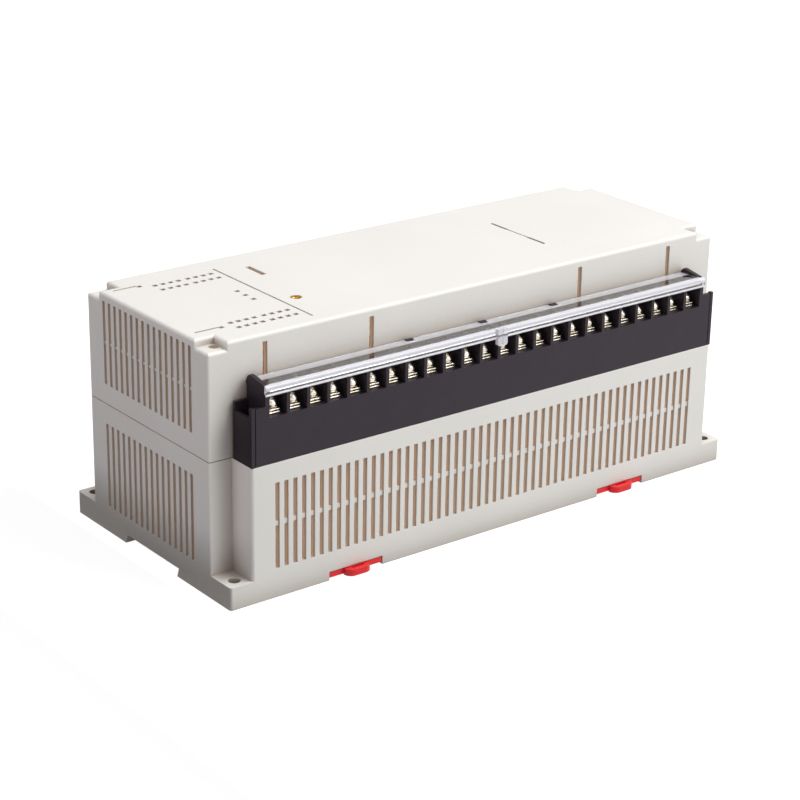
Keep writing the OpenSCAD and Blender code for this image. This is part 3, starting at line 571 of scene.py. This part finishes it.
class Form:
    """Skin of one small part, in millimetres."""

    def __init__(self) -> None:
        """Starts without faces."""
        self.points: list[Vector] = []
        self.faces: list[list[int]] = []

    def skin(self, loops: Sequence[Loop], ring: bool = False) -> "Form":
        """Joins closed loops of points into a skin.

        Args:
            loops: Loops with the same number of points each.
            ring: True joins the last loop to the first, and False closes both ends.

        Returns:
            The form itself.
        """
        first, size = len(self.points), len(loops[0])
        for loop in loops:
            self.points.extend(loop)
        pairs = [(k, k + 1) for k in range(len(loops) - 1)]
        if ring:
            pairs.append((len(loops) - 1, 0))
        for a, b in pairs:
            for i in range(size):
                j = (i + 1) % size
                self.faces.append([first + a * size + i, first + a * size + j,
                                   first + b * size + j, first + b * size + i])
        if not ring:
            self.faces.append([first + i for i in reversed(range(size))])
            self.faces.append([first + (len(loops) - 1) * size + i for i in range(size)])
        return self

    def turned(self, profile: Sequence[tuple[float, float]], steps: int = 32) -> "Form":
        """Turns a profile round the upright axis.

        Args:
            profile: Radius and height of each point.
            steps: Number of steps round the axis.

        Returns:
            The form itself.
        """
        return self.skin([[Vector((radius * math.cos(a), radius * math.sin(a), z))
                           for a in angles(steps)] for radius, z in profile])

    def mesh(self, name: str) -> bpy.types.Mesh:
        """Makes the mesh with smooth faces and crisp edges, in metres.

        Args:
            name: Name of the mesh.

        Returns:
            The mesh.
        """
        mesh = bpy.data.meshes.new(name)
        mesh.from_pydata([point * MM for point in self.points], [], self.faces)
        work = bmesh.new()
        work.from_mesh(mesh)
        bmesh.ops.recalc_face_normals(work, faces=work.faces)
        work.to_mesh(mesh)
        work.free()
        crisp(mesh)
        return mesh


def angles(steps: int) -> list[float]:
    """Lists equal steps of a full turn, in radians."""
    return [math.tau * i / steps for i in range(steps)]


def section(corner: float) -> list[tuple[float, float]]:
    """Lists the points of a rounded bar's section, with each half measure as 1.

    Args:
        corner: Where the long edges end.

    Returns:
        The points in order.
    """
    return [(-1, -0.7), (-corner, -1), (corner, -1), (1, -0.7),
            (1, 0.7), (corner, 1), (-corner, 1), (-1, 0.7)]


def crisp(mesh: bpy.types.Mesh) -> None:
    """Shades a mesh smooth except across its edges.

    Args:
        mesh: The mesh.
    """
    work = bmesh.new()
    work.from_mesh(mesh)
    for face in work.faces:
        face.smooth = True
    for edge in work.edges:
        edge.smooth = edge.calc_face_angle(math.pi) < math.radians(CREASE_DEG)
    work.to_mesh(mesh)
    work.free()


def carved(mesh: bpy.types.Mesh, tool: bpy.types.Mesh, edge_mm: float) -> bpy.types.Mesh:
    """Cuts one mesh out of another and rounds the edges.

    Args:
        mesh: The mesh to cut.
        tool: What is cut away.
        edge_mm: Width of the rounded edges.

    Returns:
        The new mesh.
    """
    body, cutter = (bpy.data.objects.new(part.name, part) for part in (mesh, tool))
    for part in (body, cutter):
        bpy.context.scene.collection.objects.link(part)
    cut = body.modifiers.new("recess", "BOOLEAN")
    cut.object = cutter
    cut.solver = "EXACT"
    soft = body.modifiers.new("soft edges", "BEVEL")
    soft.width = edge_mm * MM
    soft.segments = 2
    soft.limit_method = "ANGLE"
    soft.angle_limit = math.radians(CREASE_DEG)
    made = bpy.data.meshes.new_from_object(
        body.evaluated_get(bpy.context.evaluated_depsgraph_get()))
    for part in (body, cutter):
        bpy.data.objects.remove(part)
    crisp(made)
    return made


def repeated(name: str, mesh: bpy.types.Mesh, places: Iterable[Matrix]) -> bpy.types.Mesh:
    """Copies a mesh to several places as one mesh.

    Args:
        name: Name of the new mesh.
        mesh: The mesh to copy.
        places: Where the copies go.

    Returns:
        The new mesh.
    """
    work = bmesh.new()
    for place in places:
        known = len(work.verts)
        work.from_mesh(mesh)
        work.verts.ensure_lookup_table()
        bmesh.ops.transform(work, matrix=place, verts=work.verts[known:])
    made = bpy.data.meshes.new(name)
    work.to_mesh(made)
    work.free()
    return made


def stand_for(node: str, mesh: bpy.types.Mesh, material: bpy.types.Material) -> bpy.types.Object:
    """Puts a piece in the place of a CAD node of the housing.

    Args:
        node: The CAD node.
        mesh: The piece's mesh, in place.
        material: Its finish.

    Returns:
        The piece.
    """
    made = bpy.data.objects.new(f"{node}_piece", mesh)
    bpy.context.scene.collection.objects.link(made)
    mesh.materials.append(material)
    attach(made, "housing")
    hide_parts(node)
    LOG.info("%s: %d faces", made.name, len(mesh.polygons))
    return made


@dataclass(frozen=True)
class CrossScrew:
    """Pan-head screw with a domed head and a cross recess, seat at height 0, in mm."""

    shank: float
    head: float
    head_h: float
    length: float
    dome: float = 0.78
    slot_w: float = 0.8
    slot_cut: float = 1.0
    edge: float = 0.12

    def profile(self) -> list[tuple[float, float]]:
        """Lists radius and height from the tip to the middle of the head."""
        radius, neck = self.head / 2, self.shank / 2
        rim = self.head_h * (1 - self.dome)
        points = [(0.02, -self.length), (neck * 0.45, -self.length), (neck, neck - self.length),
                  (neck, 0.0), (radius - 0.15, 0.0), (radius, 0.15), (radius, rim)]
        for k in range(1, 7):
            a = math.pi / 2 * k / 6
            points.append((max(radius * math.cos(a), 0.02), rim + (self.head_h - rim) * math.sin(a)))
        return points

    def cross(self) -> Form:
        """Shapes the cutter of the cross recess."""
        reach, loops = self.head * 0.32, []
        for z, grow in ((self.head_h - self.slot_cut, 0.8), (self.head_h + 1.0, 1.1)):
            w, r = self.slot_w / 2 * grow, reach * grow
            arm = [Vector((r, -w, z)), Vector((r, w, z)), Vector((w, w, z))]
            turns = [Matrix.Rotation(math.pi / 2 * k, 3, "Z") for k in range(4)]
            loops.append([turn @ point for turn in turns for point in arm])
        return Form().skin(loops)

    def mesh(self, name: str) -> bpy.types.Mesh:
        """Builds one screw.

        Args:
            name: Name of the mesh.

        Returns:
            The mesh, in metres.
        """
        body = Form().turned(self.profile()).mesh(name)
        return carved(body, self.cross().mesh("recess"), self.edge)


@dataclass
class TerminalMetal:
    """Metal of one terminal block: contact plates with pins, clamps, washers and screws."""

    side: Side
    finishes: Finishes
    ways: int = 24
    plate_t: float = 0.8
    bore: float = 1.65
    edge: float = 0.32
    bow: float = 0.12
    corner_reach: float = 1.25
    pin_w: float = 2.0
    pin_tip: float = 2.5
    ring_w: float = 1.05
    ring_t: float = 0.72
    split: float = 22.0
    split_at: float = -30.0
    shank: float = 3.0
    screw_len: float = 10.0
    head_share: float = 0.75
    steps: int = 48

    def box(self, part: str) -> tuple[Vector, Vector]:
        """Gives the box of a part of the front block, in mm."""
        low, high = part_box(f"front_{part}")
        return low / MM, high / MM

    def axis(self) -> tuple[list[float], float]:
        """Gives the screws' places along the block, and their place across it, in mm."""
        low, high = self.box("terminal_screws")
        half = (high.y - low.y) / 2
        step_x = (high.x - low.x - 2 * half) / (self.ways - 1)
        return [low.x + half + i * step_x for i in range(self.ways)], low.y + half

    def row(self, part: str, mesh: bpy.types.Mesh, height: float) -> bpy.types.Object:
        """Repeats one part along the block.

        Args:
            part: Name of the CAD node without its side.
            mesh: One part, on the screw's axis.
            height: Height at which it sits, in mm.

        Returns:
            The piece.
        """
        along, across = self.axis()
        turn = self.side.turn()
        places = [turn @ Matrix.Translation(Vector((x, across, height)) * MM) for x in along]
        node = f"{self.side.value}_{part}"
        return stand_for(node, repeated(node, mesh, places), self.finishes.nickel)

    def plate(self, sides: tuple[float, float, float, float], bow: float) -> Form:
        """Shapes a stamped plate with a bore and rounded edges.

        Args:
            sides: Distance of the right, rear, left and front edge from the bore's middle.
            bow: How far the plate's right and left edges bend down.

        Returns:
            The form, with its underside at height 0.
        """
        top, loops = self.plate_t, []
        for a in angles(self.steps):
            way = Vector((math.cos(a), math.sin(a), 0.0))
            leans = [math.cos(a - math.pi / 2 * k) for k in range(len(sides))]
            reach = min(side / lean for side, lean in zip(sides, leans) if lean > 1e-6)
            reach = min(reach, self.corner_reach * max(sides))
            loop = [way * self.bore + Vector((0, 0, z)) for z in (top - 0.05, 0.05)]
            for k in range(7):
                turn = -math.pi / 2 + math.pi * k / 6
                r = reach - self.edge + self.edge * math.cos(turn)
                z = top / 2 + (top / 2) * math.sin(turn)
                loop.append(way * r + Vector((0, 0, z)))
            for point in loop:
                point.z += bow * (1 - (point.x / sides[0]) ** 2) if bow else 0.0
            loops.append(loop)
        return Form().skin(loops, ring=True)

    def pin(self, rear: float, low: float) -> Form:
        """Shapes the solder pin that bends down from the plate's rear edge.

        Args:
            rear: Distance of the plate's rear edge from the screw's axis.
            low: Height of the pin's end under the plate's underside, negative.

        Returns:
            The form.
        """
        half_t, half_w, bend = self.plate_t / 2, self.pin_w / 2, 0.75
        centre = Vector((0, rear - half_t - bend, half_t - bend))
        path = [(Vector((0, centre.y - 1.0, half_t)), Vector((0, 0, 1)), 1.0)]
        for k in range(5):
            a = math.pi / 2 * (1 - k / 4)
            out = Vector((0, math.cos(a), math.sin(a)))
            path.append((centre + out * bend, out, 1.0))
        back = Vector((0, 1, 0))
        path += [(Vector((0, rear - half_t, low + self.pin_tip)), back, 1.0),
                 (Vector((0, rear - half_t, low)), back, 0.35)]
        loops = []
        for middle, out, share in path:
            wide, thick = half_w * share, half_t * min(1.0, share + 0.2)
            loops.append([middle + Vector((x * wide, 0, 0)) + out * (t * thick)
                          for x, t in section(0.9)])
        return Form().skin(loops)

    def washer(self, outer: float, height: float) -> Form:
        """Shapes a split spring washer whose ends stand apart.

        Args:
            outer: Outer radius.
            height: Height over both ends.

        Returns:
            The form, with its lowest point at height 0.
        """
        loops = []
        middle = outer - self.ring_w / 2
        for k in range(self.steps):
            share = k / (self.steps - 1)
            a = math.radians(self.split_at + self.split / 2 + (360 - self.split) * share)
            way = Vector((math.cos(a), math.sin(a), 0))
            lift = self.ring_t / 2 + (height - self.ring_t) * share
            loops.append([way * (middle + x * self.ring_w / 2)
                          + Vector((0, 0, lift + z * self.ring_t / 2)) for x, z in section(0.75)])
        return Form().skin(loops)

    def build(self) -> None:
        """Builds all metal of the block."""
        along, across = self.axis()
        low, high = self.box("contact_plates")
        floor = high.z - self.plate_t
        half = along[0] - low.x
        contact = self.plate((half, high.y - across, half, across - low.y), 0.0)
        tail = self.pin(high.y - across, low.z - floor)
        joined = len(contact.points)
        contact.points += tail.points
        contact.faces += [[joined + i for i in face] for face in tail.faces]
        self.row("contact_plates", contact.mesh("contact plate"), floor)
        low, high = self.box("clamp_plates")
        half = (high.y - low.y) / 2
        clamp = replace(self, plate_t=high.z - low.z - self.bow).plate((half,) * 4, self.bow)
        self.row("clamp_plates", clamp.mesh("clamp plate"), low.z)
        low, high = self.box("spring_washers")
        ring = self.washer((high.y - low.y) / 2, high.z - low.z)
        self.row("spring_washers", ring.mesh("spring washer"), low.z)
        low, high = self.box("terminal_screws")
        head_h = (high.z - low.z - self.screw_len) * self.head_share
        screw = CrossScrew(self.shank, high.y - low.y, head_h, self.screw_len)
        self.row("terminal_screws", screw.mesh("terminal screw"), low.z + self.screw_len)


@dataclass
class BodyScrews:
    """Screws that hold a block or the shells, at the corners of their node's box."""

    node: str
    screw: CrossScrew
    finishes: Finishes

    def build(self) -> bpy.types.Object:
        """Builds the screws of the node.

        Returns:
            The piece.
        """
        low, high = (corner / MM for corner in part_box(self.node))
        radius = self.screw.head / 2
        seat = high.z - self.screw.head_h
        rows = {round(y, 3) for y in (low.y + radius, high.y - radius)}
        places = [Matrix.Translation(Vector((x, y, seat)) * MM)
                  for x in (low.x + radius, high.x - radius) for y in sorted(rows)]
        mesh = repeated(self.node, self.screw.mesh("screw"), places)
        return stand_for(self.node, mesh, self.finishes.zinc)


@dataclass
class ThreadedInsert:
    """Brass insert with a cut thread and a knurled outside."""

    finishes: Finishes
    node: str = "adjuster_insert"
    thread: float = 0.22
    pitch: float = 0.6
    wall: float = 0.5
    knurl: float = 0.12
    steps: int = 48
    rows: int = 6

    def build(self) -> bpy.types.Object:
        """Builds the insert.

        Returns:
            The piece.
        """
        low, high = (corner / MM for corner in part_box(self.node))
        outer, length = (high.x - low.x) / 2, high.z - low.z
        bore = outer - self.wall
        count = round(length / self.pitch * self.rows)
        loops = []
        for a in angles(self.steps):
            way = Vector((math.cos(a), math.sin(a), 0))
            turn = a / math.tau
            rough = self.knurl * (round(turn * self.steps) % 2)
            loop = []
            for k in range(count + 1):
                wave = abs(((k / self.rows + turn) % 1.0) * 2 - 1)
                ends = min(1.0, min(k, count - k) / self.rows)
                height = Vector((0, 0, length * k / count))
                loop.append(way * (bore - self.thread * wave * ends) + height)
            loop += [way * r + Vector((0, 0, z)) for r, z in
                     ((outer - 0.15, length), (outer, length - 0.15), (outer, length - 0.8),
                      (outer - rough, length - 1.0), (outer - rough, 0.4), (outer - 0.2, 0.0))]
            loops.append(loop)
        mesh = Form().skin(loops, ring=True).mesh(self.node)
        foot = Vector(((low.x + high.x) / 2, (low.y + high.y) / 2, low.z))
        mesh.transform(Matrix.Translation(foot * MM))
        return stand_for(self.node, mesh, self.finishes.brass)


@dataclass
class Enclosure:
    """The whole product on its CAD frame."""

    finishes: Finishes
    shells: tuple[str, ...] = ("lower_housing", "upper_housing")
    block_screw: CrossScrew = CrossScrew(2.4, 4.2, 1.9, 8.0, slot_w=0.7, slot_cut=0.8)
    shell_screw: CrossScrew = CrossScrew(2.2, 3.5, 1.6, 9.0, slot_w=0.6, slot_cut=0.7)

    def dress_plastics(self) -> None:
        """Gives the moulded pieces their finishes."""
        for name in self.shells:
            dress(name, self.finishes.cream)
        for side in Side:
            dress(f"{side.value}_terminal_block", self.finishes.black)
            for end in ("left", "right"):
                dress(f"{side.value}_cover_{end}", self.finishes.clear)
        for end in ("left", "right"):
            dress(f"rail_clip_{end}", self.finishes.red)
        LOG.info("dressed shells, blocks, covers and clips")

    def build_metal(self) -> None:
        """Builds the metal small parts."""
        for side in Side:
            TerminalMetal(side, self.finishes).build()
            self.fasten(f"{side.value}_block_screws", self.block_screw)
        self.fasten("housing_screws", self.shell_screw)
        ThreadedInsert(self.finishes).build()

    def fasten(self, node: str, screw: CrossScrew) -> None:
        """Builds a node's screws, with their length fitted to its box.

        Args:
            node: The CAD node.
            screw: The screw with its other sizes.
        """
        low, high = (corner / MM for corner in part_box(node))
        fitted = replace(screw, length=high.z - low.z - screw.head_h)
        BodyScrews(node, fitted, self.finishes).build()


@dataclass
class Lamp:
    """A rectangular soft lamp."""

    name: str
    place: tuple[float, float, float]
    width: float
    height: float
    power: float
    colour: str = "#ffffff"
    mirrored: bool = True

    def make(self, target: Vector) -> bpy.types.Object:
        """Adds the lamp, turned towards a point.

        Args:
            target: The point that the lamp faces.

        Returns:
            The lamp object.
        """
        light = bpy.data.lights.new(self.name, "AREA")
        light.shape = "RECTANGLE"
        light.size = self.width
        light.size_y = self.height
        light.energy = self.power
        light.color = linear(self.colour)[:3]
        made = bpy.data.objects.new(self.name, light)
        made.location = self.place
        made.visible_glossy = self.mirrored
        made.rotation_euler = (target - Vector(self.place)).to_track_quat("-Z", "Y").to_euler()
        bpy.context.scene.collection.objects.link(made)
        return made


@dataclass
class Studio:
    """Pale floor, soft light and the camera."""

    azimuth: float = -37.872
    elevation: float = 21.722
    roll: float = 1.016
    place: tuple[float, float, float] = (-0.54142, -0.68953, 0.38016)
    lens: float = 103.476
    shift_y: float = 0.0188
    floor_size: float = 6.0
    floor_glow: float = 0.97
    shade_level: float = 0.25
    light_level: float = 0.82
    shade_colour: str = "#fff4ea"
    light_from: tuple[float, float, float] = (0.8, -0.4, 0.5)
    flag_gap: float = 0.006
    flag_size: float = 0.5
    flag_y: tuple[float, float] = (-0.3, 0.9)
    flag_h: float = 0.6
    strip_size: float = 0.25
    screen_gap: float = 0.06
    screen_h: float = 0.03
    lamps: list[Lamp] = field(default_factory=lambda: [
        Lamp("key lamp", (0.55, -0.77, 1.15), 0.9, 0.9, 15.4, "#fdfffc"),
        Lamp("end lamp", (-1.3, -0.15, 0.28), 0.6, 0.4, 4.0, "#f8f7ff", False),
        Lamp("top lamp", (0.1, 0.25, 1.3), 1.2, 0.8, 0.5),
    ])

    def camera(self) -> bpy.types.Object:
        """Places the camera by its angles.

        Returns:
            The camera object.
        """
        turn, tilt, roll = (math.radians(a) for a in (self.azimuth, self.elevation, self.roll))
        back = Vector((math.sin(turn) * math.cos(tilt), -math.cos(turn) * math.cos(tilt),
                       math.sin(tilt)))
        right = (-back).cross(Vector((0, 0, 1))).normalized()
        up = right.cross(-back)
        across = math.cos(roll) * right + math.sin(roll) * up
        upright = -math.sin(roll) * right + math.cos(roll) * up
        data = bpy.data.cameras.new("camera")
        data.lens = self.lens
        data.sensor_width = 36.0
        data.shift_y = self.shift_y
        data.clip_start = 0.01
        data.clip_end = 50.0
        made = bpy.data.objects.new("camera", data)
        made.matrix_world = Matrix((across, upright, back)).transposed().to_4x4()
        made.location = self.place
        bpy.context.scene.collection.objects.link(made)
        bpy.context.scene.camera = made
        return made

    def seen_directly(self, tree: bpy.types.NodeTree) -> bpy.types.NodeSocket:
        """Is 1 for rays that show the backdrop to the eye, in metal or through glass.

        Args:
            tree: The tree that gets the nodes.

        Returns:
            The socket with 0 or 1.
        """
        path = add_node(tree, "LightPath")
        seen = path.outputs["Is Camera Ray"]
        for ray in ("Is Glossy Ray", "Is Transmission Ray"):
            seen = maths(tree, "MAXIMUM", seen, path.outputs[ray])
        return seen

    def floor_material(self) -> bpy.types.Material:
        """White paper floor that keeps the object's shadow.

        Returns:
            The floor's material.
        """
        material, tree, shader = new_material("matt paper, white")
        place = add_node(tree, "TexCoord").outputs["Object"]
        fibre = add_node(tree, "TexNoise", links={"Vector": place}, Scale=1 / (2.0 * MM))
        colour = ramp(tree, fibre.outputs["Fac"], [(0.3, "#8a8a8a"), (0.7, "#8e8e8e")])
        glow = maths(tree, "MULTIPLY", self.seen_directly(tree), self.floor_glow)
        tree.links.new(colour, shader.inputs["Base Color"])
        tree.links.new(glow, shader.inputs["Emission Strength"])
        shader.inputs["Emission Color"].default_value = (1.0, 1.0, 1.0, 1.0)
        shader.inputs["Roughness"].default_value = 0.9
        return material

    def world(self) -> None:
        """Sets a soft world light, brighter from the lit side, that the eye sees as white."""
        world = bpy.data.worlds.new("soft room light")
        bpy.context.scene.world = world
        world.use_nodes = True
        tree = world.node_tree
        surface = tree.nodes["Background"]
        way = add_node(tree, "TexCoord").outputs["Generated"]
        towards = add_node(tree, "VectorMath", {"operation": "DOT_PRODUCT"}, {0: way})
        towards.inputs[1].default_value = Vector(self.light_from).normalized()
        level = span(tree, towards.outputs["Value"], self.shade_level, self.light_level, -1.0)
        tree.links.new(maths(tree, "MAXIMUM", level, self.seen_directly(tree)),
                       surface.inputs["Strength"])
        share = step(tree, towards.outputs["Value"], -0.9, 0.5)
        share = maths(tree, "MAXIMUM", share, self.seen_directly(tree))
        tree.links.new(blend(tree, share, self.shade_colour, "#ffffff"), surface.inputs["Color"])

    def sheet(self, name: str, corners: Sequence[tuple[float, float, float]],
              material: bpy.types.Material) -> bpy.types.Object:
        """Adds one flat sheet of the studio.

        Args:
            name: Name of the sheet.
            corners: Its four corners.
            material: Its finish.

        Returns:
            The sheet's object.
        """
        mesh = bpy.data.meshes.new(name)
        mesh.from_pydata(list(corners), [], [(0, 1, 2, 3)])
        mesh.materials.append(material)
        made = bpy.data.objects.new(name, mesh)
        bpy.context.scene.collection.objects.link(made)
        return made

    def upright(self, x: float, low: float, height: float) -> list[tuple[float, float, float]]:
        """Lists the corners of a sheet that stands along the depth.

        Args:
            x: Where it stands.
            low: Height of its lower edge.
            height: Its own height.

        Returns:
            The four corners.
        """
        start, end = self.flag_y
        return [(x, start, low), (x, end, low), (x, end, low + height), (x, start, low + height)]

    def flags(self) -> None:
        """Sets dark flags and a low screen beside the end that has less light."""
        material, tree, shader = new_material("black felt")
        place = add_node(tree, "TexCoord").outputs["Object"]
        nap = add_node(tree, "TexNoise", links={"Vector": place}, Scale=1 / (3.0 * MM))
        tree.links.new(ramp(tree, nap.outputs["Fac"], [(0.3, "#060606"), (0.7, "#0a0a0a")]),
                       shader.inputs["Base Color"])
        shader.inputs["Specular IOR Level"].default_value = 0.0
        near = CAD_BOX[0][0] - self.flag_gap
        edge, far = near - self.strip_size, near - self.flag_size
        low = CAD_BOX[0][2] + 0.0005
        start, end = self.flag_y
        strips = {"near flag": (near, edge), "lying flag": (edge, far)}
        forms = {name: [(a, start, low), (a, end, low), (b, end, low), (b, start, low)]
                 for name, (a, b) in strips.items()}
        forms["standing flag"] = self.upright(far, low, self.flag_h)
        for name, corners in forms.items():
            made = self.sheet(name, corners, material)
            made.visible_camera = False
            made.visible_shadow = False
            made.visible_transmission = False
            made.visible_diffuse = name == "near flag"
        screen = self.upright(near - self.screen_gap, low, self.screen_h)
        made = self.sheet("low screen", screen, material)
        made.visible_camera = False
        made.visible_glossy = False
        made.visible_transmission = False

    def build(self) -> None:
        """Builds floor, flags, lamps, world and camera."""
        bpy.context.scene.view_settings.view_transform = "Standard"
        half = self.floor_size / 2
        low = CAD_BOX[0][2] - 0.0002
        self.sheet("floor", [(-half, -half, low), (half, -half, low), (half, half, low),
                             (-half, half, low)], self.floor_material())
        self.flags()
        target = Vector((0.0, 0.0, 0.04))
        for lamp in self.lamps:
            lamp.make(target)
        self.world()
        self.camera()


def main() -> None:
    """Builds the whole scene in order."""
    product = Enclosure(Finishes())
    product.dress_plastics()
    product.build_metal()
    Studio().build()
    LOG.info("set up the studio")


if __name__ == "__main__":
    main()
